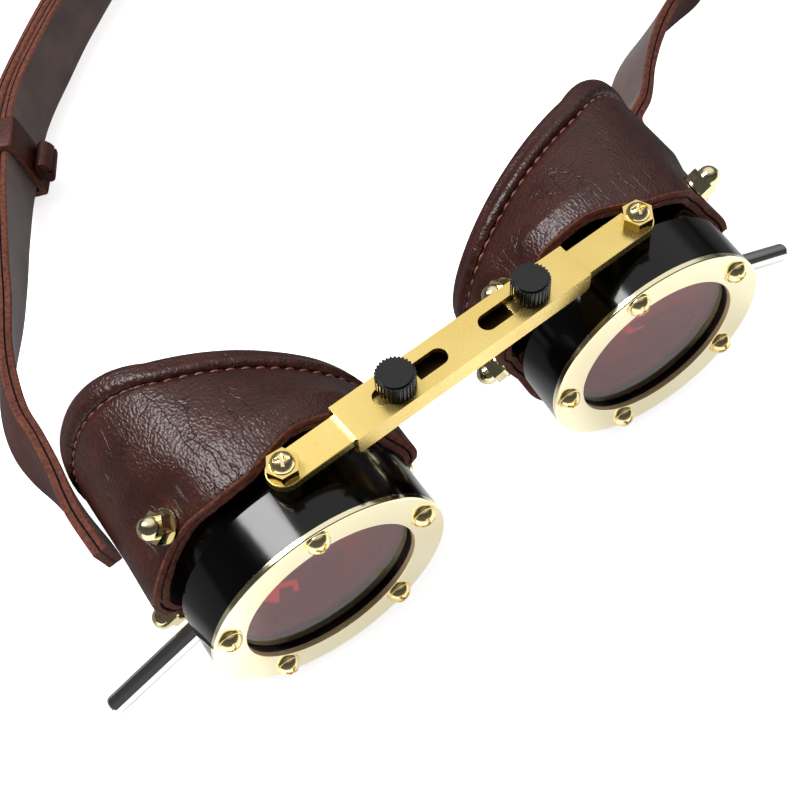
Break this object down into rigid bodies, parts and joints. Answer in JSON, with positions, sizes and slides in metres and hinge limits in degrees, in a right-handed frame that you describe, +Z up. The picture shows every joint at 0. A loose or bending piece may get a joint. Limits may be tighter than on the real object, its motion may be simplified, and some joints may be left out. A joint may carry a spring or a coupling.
{
  "type": "goggles",
  "caption": "Round twin-lens goggles with lever-driven iris shutters, leather eye cups, a sliding two-knob bridge and a buckled leather head strap.",
  "frame": {"origin": "middle of the bridge sleeve's flat top face", "axes": "+X along the bridge from the left eyepiece in the picture to the right one, -Y out of the lenses, +Y towards the face and strap, +Z up"},
  "size_m": [0.2467, 0.2109, 0.064],
  "materials": {
    "satin_gold": "satin",
    "pale_gold": "polished",
    "brass": "polished",
    "black_paint": "gloss",
    "black_knurl": "semi-gloss",
    "rubber": "matte",
    "lens_glass": "polished, tinted",
    "dark_steel": "blackened",
    "red_blades": "satin",
    "chrome": "polished",
    "oxblood_leather": "glossy grained",
    "strap_leather": "semi-gloss, grained"
  },
  "bodies": {
    "bridge": {"bridge_sleeve": "satin_gold", "left_strap_rear": "strap_leather", "right_strap_rear": "strap_leather", "strap_keeper": "strap_leather", "buckle_frame": "brass"},
    "buckle_prong": {"buckle_prong": "brass"},
    "left_arm": {"left_arm": "satin_gold", "left_strap_side": "strap_leather"},
    "left_knob": {"left_knob": "black_knurl"},
    "left_goggle": {"left_barrel": "black_paint", "left_front_ring": "pale_gold", "left_ring_screws": "brass", "left_gasket": "rubber", "left_lens": "lens_glass", "left_iris_plate": "dark_steel", "left_retainer": "dark_steel", "left_cup": "oxblood_leather", "left_rim": "oxblood_leather", "left_cup_bolts": "brass", "left_acorn_nuts": "brass", "left_pivot_screw": "brass", "left_pivot_nut": "brass", "left_pivot_spacer": "brass", "left_strap_end": "strap_leather"},
    "left_iris": {"left_iris_ring": "dark_steel", "left_lever": "chrome"},
    "left_blade_1": {"left_blade_1": "red_blades"},
    "left_blade_2": {"left_blade_2": "red_blades"},
    "left_blade_3": {"left_blade_3": "red_blades"},
    "left_blade_4": {"left_blade_4": "red_blades"},
    "left_blade_5": {"left_blade_5": "red_blades"},
    "left_blade_6": {"left_blade_6": "red_blades"},
    "right_arm": {"right_arm": "satin_gold", "right_strap_side": "strap_leather"},
    "right_knob": {"right_knob": "black_knurl"},
    "right_goggle": {"right_barrel": "black_paint", "right_front_ring": "pale_gold", "right_ring_screws": "brass", "right_gasket": "rubber", "right_lens": "lens_glass", "right_iris_plate": "dark_steel", "right_retainer": "dark_steel", "right_cup": "oxblood_leather", "right_rim": "oxblood_leather", "right_cup_bolts": "brass", "right_acorn_nuts": "brass", "right_pivot_screw": "brass", "right_pivot_nut": "brass", "right_pivot_spacer": "brass", "right_strap_end": "strap_leather"},
    "right_iris": {"right_iris_ring": "dark_steel", "right_lever": "chrome"},
    "right_blade_1": {"right_blade_1": "red_blades"},
    "right_blade_2": {"right_blade_2": "red_blades"},
    "right_blade_3": {"right_blade_3": "red_blades"},
    "right_blade_4": {"right_blade_4": "red_blades"},
    "right_blade_5": {"right_blade_5": "red_blades"},
    "right_blade_6": {"right_blade_6": "red_blades"}
  },
  "joints": [
    {"name": "buckle_prong_lift", "type": "hinge", "parent": "bridge", "child": "buckle_prong", "pos_m": [0.027, 0.177, -0.04725], "axis": [-0.0638, 0.1237, 0.9903], "range_deg": [0, 20]},
    {"name": "left_width_slide", "type": "slide", "parent": "bridge", "child": "left_arm", "axis": [1, 0, 0], "range_m": [-0.0034, 0.006], "deforming": ["left_strap_side"]},
    {"name": "left_pivot", "type": "hinge", "parent": "left_arm", "child": "left_goggle", "pos_m": [-0.0404, 0, -0.00335], "axis": [0, 0, 1], "range_deg": [-3.7, 14.3], "deforming": ["left_strap_end"]},
    {"name": "left_knob_turn", "type": "hinge", "parent": "left_arm", "child": "left_knob", "pos_m": [-0.01545, 0, 0], "axis": [0, 0, 1], "range_deg": [-180, 180]},
    {"name": "left_iris_lever", "type": "hinge", "parent": "left_goggle", "child": "left_iris", "pos_m": [-0.0404, 0, -0.03085], "axis": [0.0924, 0.9957, 0], "range_deg": [-22.5, 17.5]},
    {"name": "left_blade_1_pivot", "type": "hinge", "parent": "left_goggle", "child": "left_blade_1", "pos_m": [-0.05996, -0.0022, -0.02675], "axis": [0.0924, 0.9957, 0], "range_deg": [-15.95, 12.45]},
    {"name": "left_blade_2_pivot", "type": "hinge", "parent": "left_goggle", "child": "left_blade_2", "pos_m": [-0.04683, -0.00342, -0.01211], "axis": [0.0924, 0.9957, 0], "range_deg": [-15.95, 12.45]},
    {"name": "left_blade_3_pivot", "type": "hinge", "parent": "left_goggle", "child": "left_blade_3", "pos_m": [-0.02764, -0.0052, -0.01621], "axis": [0.0924, 0.9957, 0], "range_deg": [-15.95, 12.45]},
    {"name": "left_blade_4_pivot", "type": "hinge", "parent": "left_goggle", "child": "left_blade_4", "pos_m": [-0.02158, -0.00576, -0.03495], "axis": [0.0924, 0.9957, 0], "range_deg": [-15.95, 12.45]},
    {"name": "left_blade_5_pivot", "type": "hinge", "parent": "left_goggle", "child": "left_blade_5", "pos_m": [-0.03471, -0.00455, -0.04959], "axis": [0.0924, 0.9957, 0], "range_deg": [-15.95, 12.45]},
    {"name": "left_blade_6_pivot", "type": "hinge", "parent": "left_goggle", "child": "left_blade_6", "pos_m": [-0.05389, -0.00277, -0.04549], "axis": [0.0924, 0.9957, 0], "range_deg": [-15.95, 12.45]},
    {"name": "right_width_slide", "type": "slide", "parent": "bridge", "child": "right_arm", "axis": [-1, 0, 0], "range_m": [-0.0028, 0.006], "deforming": ["right_strap_side"]},
    {"name": "right_pivot", "type": "hinge", "parent": "right_arm", "child": "right_goggle", "pos_m": [0.0432, 0, -0.00335], "axis": [0, 0, 1], "range_deg": [-1.4, 16.6], "deforming": ["right_strap_end"]},
    {"name": "right_knob_turn", "type": "hinge", "parent": "right_arm", "child": "right_knob", "pos_m": [0.0161, 0, 0], "axis": [0, 0, 1], "range_deg": [-180, 180]},
    {"name": "right_iris_lever", "type": "hinge", "parent": "right_goggle", "child": "right_iris", "pos_m": [0.0432, 0, -0.03085], "axis": [-0.1323, -0.9912, 0], "range_deg": [-30.5, 9.5]},
    {"name": "right_blade_1_pivot", "type": "hinge", "parent": "right_goggle", "child": "right_blade_1", "pos_m": [0.06177, -0.00651, -0.02675], "axis": [-0.1323, -0.9912, 0], "range_deg": [-21.55, 6.85]},
    {"name": "right_blade_2_pivot", "type": "hinge", "parent": "right_goggle", "child": "right_blade_2", "pos_m": [0.0487, -0.00477, -0.01211], "axis": [-0.1323, -0.9912, 0], "range_deg": [-21.55, 6.85]},
    {"name": "right_blade_3_pivot", "type": "hinge", "parent": "right_goggle", "child": "right_blade_3", "pos_m": [0.0296, -0.00222, -0.01621], "axis": [-0.1323, -0.9912, 0], "range_deg": [-21.55, 6.85]},
    {"name": "right_blade_4_pivot", "type": "hinge", "parent": "right_goggle", "child": "right_blade_4", "pos_m": [0.02357, -0.00142, -0.03495], "axis": [-0.1323, -0.9912, 0], "range_deg": [-21.55, 6.85]},
    {"name": "right_blade_5_pivot", "type": "hinge", "parent": "right_goggle", "child": "right_blade_5", "pos_m": [0.03664, -0.00316, -0.04959], "axis": [-0.1323, -0.9912, 0], "range_deg": [-21.55, 6.85]},
    {"name": "right_blade_6_pivot", "type": "hinge", "parent": "right_goggle", "child": "right_blade_6", "pos_m": [0.05574, -0.00571, -0.04549], "axis": [-0.1323, -0.9912, 0], "range_deg": [-21.55, 6.85]}
  ],
  "couplings": [
    {"joint": "left_blade_1_pivot", "follows": "left_iris_lever", "ratio": 0.7},
    {"joint": "left_blade_2_pivot", "follows": "left_iris_lever", "ratio": 0.7},
    {"joint": "left_blade_3_pivot", "follows": "left_iris_lever", "ratio": 0.7},
    {"joint": "left_blade_4_pivot", "follows": "left_iris_lever", "ratio": 0.7},
    {"joint": "left_blade_5_pivot", "follows": "left_iris_lever", "ratio": 0.7},
    {"joint": "left_blade_6_pivot", "follows": "left_iris_lever", "ratio": 0.7},
    {"joint": "right_blade_1_pivot", "follows": "right_iris_lever", "ratio": 0.7},
    {"joint": "right_blade_2_pivot", "follows": "right_iris_lever", "ratio": 0.7},
    {"joint": "right_blade_3_pivot", "follows": "right_iris_lever", "ratio": 0.7},
    {"joint": "right_blade_4_pivot", "follows": "right_iris_lever", "ratio": 0.7},
    {"joint": "right_blade_5_pivot", "follows": "right_iris_lever", "ratio": 0.7},
    {"joint": "right_blade_6_pivot", "follows": "right_iris_lever", "ratio": 0.7}
  ]
}
